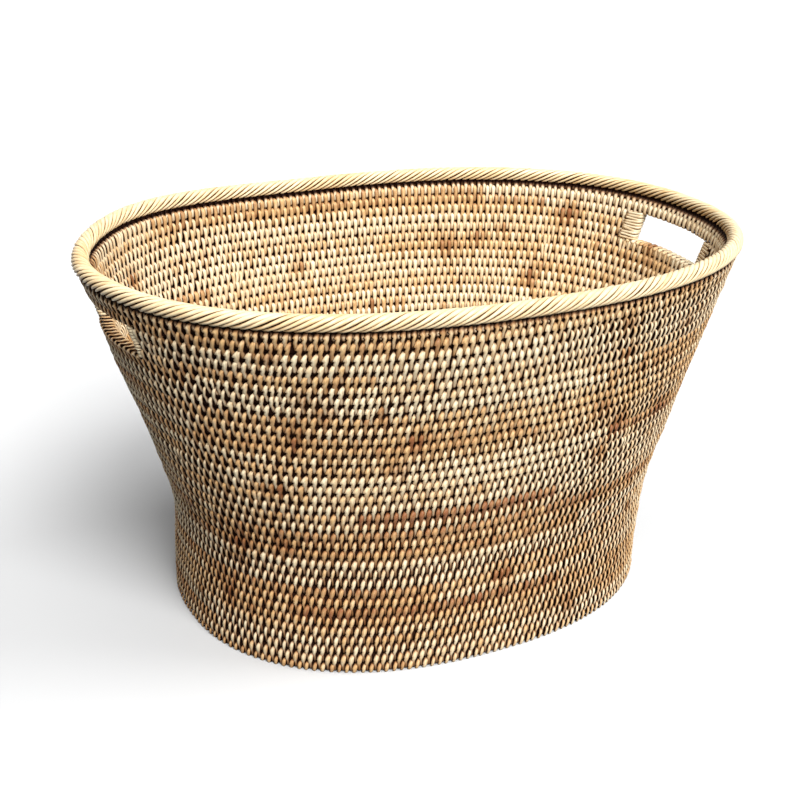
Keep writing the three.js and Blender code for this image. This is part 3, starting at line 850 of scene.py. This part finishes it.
for hole, hole_name in ((LEFT_HOLE, "left"), (RIGHT_HOLE, "right")):
    for way in (1, -1):
        # Along the spiral, the left end is passed towards the front and the right end towards the back
        label = f"{hole_name}_{'back' if (way > 0) == (hole_name == 'right') else 'front'}"
        level = np.linspace(0.02, 0.98, 7)
        middle = beside_hole(hole, way, 0.0 * level + HOLE_HALF + STICK_BESIDE, 0.0 * level, level)
        normal = oval_normal(START + TURN * hole, middle[0, 2])
        across = np.array([-normal[1], normal[0], 0]) * way
        side, up = across * STICK_RADIUS + 0 * middle, normal * STICK_RADIUS + 0 * middle
        stick = rod_piece(f"hole_stick_{label}", middle, side, up, core)
        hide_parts(f"hole_post_{label}")

        # Each wrap slopes a little, and inside the basket it ends a little nearer or farther
        slope = chance.normal(0, 0.02, (WRAPS, 1)) * np.cos(TURN * np.arange(len(WRAP)) / len(WRAP))
        level = (np.arange(WRAPS)[:, None] + 0.5) / WRAPS * 0.97 + 0.015 + slope
        reach = np.where(WRAP[:, 0] > 8, chance.normal(0, 0.5, (WRAPS, 1)), 0) + WRAP[:, 0]
        path = beside_hole(hole, way, HOLE_HALF + reach * MM, WRAP[:, 1] * MM + 0 * level, level)
        up = np.zeros_like(path)
        up[..., 2] = way
        width = WRAP_WIDTH * (1 + chance.normal(0, 0.12, (WRAPS, 1))) + 0 * level
        wraps = strip_piece(
            f"hole_wrap_strips_{label}",
            path,
            up,
            width,
            WRAP_THICKNESS + 0 * width,
            straw,
            np.clip(chance.normal(0.15, 0.12, WRAPS), 0, 1),
            # Painted shade where the wrap's inner end goes in under the rows
            np.clip((reach - 15.5) / 2, 0, 1) + 0 * width,
            edge=WRAP_EDGE_SHADE,
        )
        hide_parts(f"hole_wrap_{label}")

# The rim. A thicker cane lies on the last row and goes all the way round. Strips of peel bind it down,
# each wound slantwise over it from outside to inside, side by side, so that the top is closed and
# smooth.

HOOP_RADIUS = 4.75 * MM
LASHINGS = 207
ADVANCE = 11.0 * MM  # how far round the rim a strip moves on for each radian round the hoop
LASHING_EDGE_SHADE = np.array([0.9, 0.15, 0.0, 0.15, 0.9])
# A strip's way over the hoop: degrees from outward over the top, millimetres from the hoop's axis,
# width, thickness, and how much shade is painted on it where it goes under, from 0 to 1
LASHING = np.array(
    [
        (-98, 3.4, 1.3, 1.3, 1.0),
        (-84, 4.4, 1.6, 1.6, 0.6),
        (-68, 5.0, 2.0, 1.9, 0.2),
        (-50, 5.2, 2.4, 2.0, 0.05),
        (-30, 5.3, 2.75, 1.95, 0.0),
        (-8, 5.4, 3.05, 1.8, 0.0),
        (16, 5.5, 3.4, 1.6, 0.0),
        (42, 5.7, 3.9, 1.4, 0.0),
        (70, 5.8, 4.6, 1.2, 0.0),
        (98, 5.8, 4.7, 1.2, 0.0),
        (126, 5.7, 4.0, 1.4, 0.0),
        (152, 5.5, 3.4, 1.7, 0.0),
        (176, 5.4, 2.9, 1.9, 0.0),
        (198, 5.3, 2.6, 2.0, 0.0),
        (220, 5.2, 2.3, 2.0, 0.05),
        (240, 5.0, 2.0, 1.8, 0.3),
        (258, 4.3, 1.6, 1.5, 0.8),
        (275, 3.4, 1.3, 1.2, 1.0),
    ]
)


def rim_point(angle, turned, radius):
    """A point at an angle round the hoop, counted from outward over the top."""
    point = shaped_point(angle, 0.0 * radius, HOOP_HEIGHT + 0.0 * radius)
    point = point + (radius * np.cos(turned))[..., None] * oval_normal(angle, HOOP_HEIGHT)
    point[..., 2] += radius * np.sin(turned)
    return point


around = np.linspace(0, TURN, 361)
middle = rim_point(around, 0 * around, 0 * around)
outward = oval_normal(around, HOOP_HEIGHT) * HOOP_RADIUS
hoop = rod_piece("rim_core", middle, outward, np.array([0, 0, HOOP_RADIUS]) + 0 * middle, core)
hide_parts("rim_hoop")

around = np.linspace(0, TURN, 2881)
route = wall_point(around, 0.0 * around, HOOP_HEIGHT + 0.0 * around)
length = np.concatenate([[0], np.cumsum(np.linalg.norm(np.diff(route, axis=0), axis=1))])
degrees, reach, wide, thick, shade_and_stain = LASHING.T
turned = np.radians(degrees)
wobble = chance.normal(0, 1, (LASHINGS, 4))
start = np.arange(LASHINGS)[:, None] / LASHINGS * length[-1] + 0.3 * MM * wobble[:, :1]
angle = np.interp((start + ADVANCE * turned) % length[-1], length, around)
turned = turned + 0.05 * wobble[:, 3:4] * (degrees < -40)
radius = (reach + 0.1 * wobble[:, 1:2]) * MM
path = rim_point(angle, turned, radius)
ahead = np.gradient(path, axis=1)
side = np.cross(path - rim_point(angle, turned, 0 * radius), ahead)
side /= np.linalg.norm(side, axis=-1, keepdims=True)
width = wide * MM * (1 + 0.06 * wobble[:, 2:3])
# The rim's peel is picked for its even, pale skin, and it is a little glossier
rim_peel = peel_material(
    "rim_peel", pale="#f3e3bd", honey="#e0c18c", brown="#a87a4c", shaded="#2a1407", roughness=0.45
)
lashing = strip_piece(
    "rim_lashing_strips",
    path,
    side,
    width,
    thick * MM + 0 * width,
    rim_peel,
    np.clip(strip_tones(LASHINGS, shortest=1, longest=9, brown_share=0.05) * 0.5, 0, 1),
    shade_and_stain + 0 * width,
    closed=False,
    edge=LASHING_EDGE_SHADE,
)
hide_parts("rim_lashing")

# The floor, the light and the camera. Floor and ground are white, as in a plain product picture, and
# the light is soft and comes from high in front.


def in_sight(material):
    """1 for what the camera sees, also by reflection or through glass, and 0 for other light."""
    kind = add(material, "ShaderNodeLightPath", {}).outputs
    sight = {0: kind["Is Camera Ray"], 1: kind["Is Glossy Ray"]}
    sight = add(material, "ShaderNodeMath", sight, operation="MAXIMUM").outputs["Value"]
    sight = {0: sight, 1: kind["Is Transmission Ray"]}
    return add(material, "ShaderNodeMath", sight, operation="MAXIMUM").outputs["Value"]


# Matt white paint. The camera sees it white, and grey where the basket shades it; the basket gets
# less light from it than white paint would throw.
floor_material = new_material("white_floor")
seen = in_sight(floor_material)
bright = add(floor_material, "ShaderNodeBsdfDiffuse", {"Color": linear("#b8babd")})
glow = add(floor_material, "ShaderNodeEmission", {"Strength": 0.02})
white = {0: bright.outputs["BSDF"], 1: glow.outputs["Emission"]}
white = add(floor_material, "ShaderNodeAddShader", white)
paint = add(floor_material, "ShaderNodeBsdfDiffuse", {"Color": linear("#424242")})
both = add(
    floor_material,
    "ShaderNodeMixShader",
    {0: seen, 1: paint.outputs["BSDF"], 2: white.outputs["Shader"]},
)
add(floor_material, "ShaderNodeOutputMaterial", {"Surface": both.outputs["Shader"]})
floor_mesh = bpy.data.meshes.new("floor")
floor_mesh.from_pydata([(-9, -9, 0), (9, -9, 0), (9, 9, 0), (-9, 9, 0)], [], [(0, 1, 2, 3)])
floor_mesh.materials.append(floor_material)
floor = bpy.data.objects.new("floor", floor_mesh)
bpy.context.scene.collection.objects.link(floor)

world = bpy.data.worlds.new("room")
world.use_nodes = True
world.node_tree.nodes.clear()
colour = add(
    world,
    "ShaderNodeMixRGB",
    {"Fac": in_sight(world), "Color1": linear("#121213"), "Color2": linear("#ffffff")},
)
sky = add(world, "ShaderNodeBackground", {"Color": colour.outputs["Color"], "Strength": 1.0})
add(world, "ShaderNodeOutputWorld", {"Surface": sky.outputs["Background"]})
bpy.context.scene.world = world

# Strength, softness and direction of a large lamp in front, a weak one overhead, and one at the right
# that lights only the floor, so that the basket's soft shadow lies at the left
for name, energy, softness, toward_light in (
    ("key", 5.25, 0.6, (-0.03, -0.71, 0.69)),
    ("fill", 1.8, 0.9, (-0.15, -0.1, 0.98)),
    ("side", 2.9, 0.6, (0.65, -0.25, 0.7)),
):
    lamp_data = bpy.data.lights.new(name, "SUN")
    lamp_data.energy = energy
    lamp_data.angle = softness
    lamp_data.color = (1.0, 0.98, 0.95)
    lamp = bpy.data.objects.new(name, lamp_data)
    bpy.context.scene.collection.objects.link(lamp)
    lamp.rotation_euler = Vector(toward_light).to_track_quat("Z", "Y").to_euler()
    if name == "side":
        lit = bpy.data.collections.new("lit_from_the_side")
        lit.objects.link(floor)
        lamp.light_linking.receiver_collection = lit

# In radians and metres: the camera stands in front, 29 degrees round to the left, and looks down
HEADING = 0.5139
PITCH = 0.4131
ROLL = 0.0437
DISTANCE = 1.1233
HEIGHT = 0.6619
ACROSS = -0.0156
camera_data = bpy.data.cameras.new("camera")
camera_data.lens = 59.56  # millimetres, for the sensor's width of 36
camera_data.sensor_width = 36
camera_data.clip_start = 0.05
camera = bpy.data.objects.new("camera", camera_data)
bpy.context.scene.collection.objects.link(camera)
stand = Matrix.Rotation(-HEADING, 4, "Z")
tilt = Matrix.Rotation(TURN / 4 - PITCH, 4, "X")
roll = Matrix.Rotation(ROLL, 4, "Z")
camera.matrix_world = stand @ Matrix.Translation((ACROSS, -DISTANCE, HEIGHT)) @ tilt @ roll
bpy.context.scene.camera = camera
bpy.context.scene.view_settings.view_transform = "Standard"
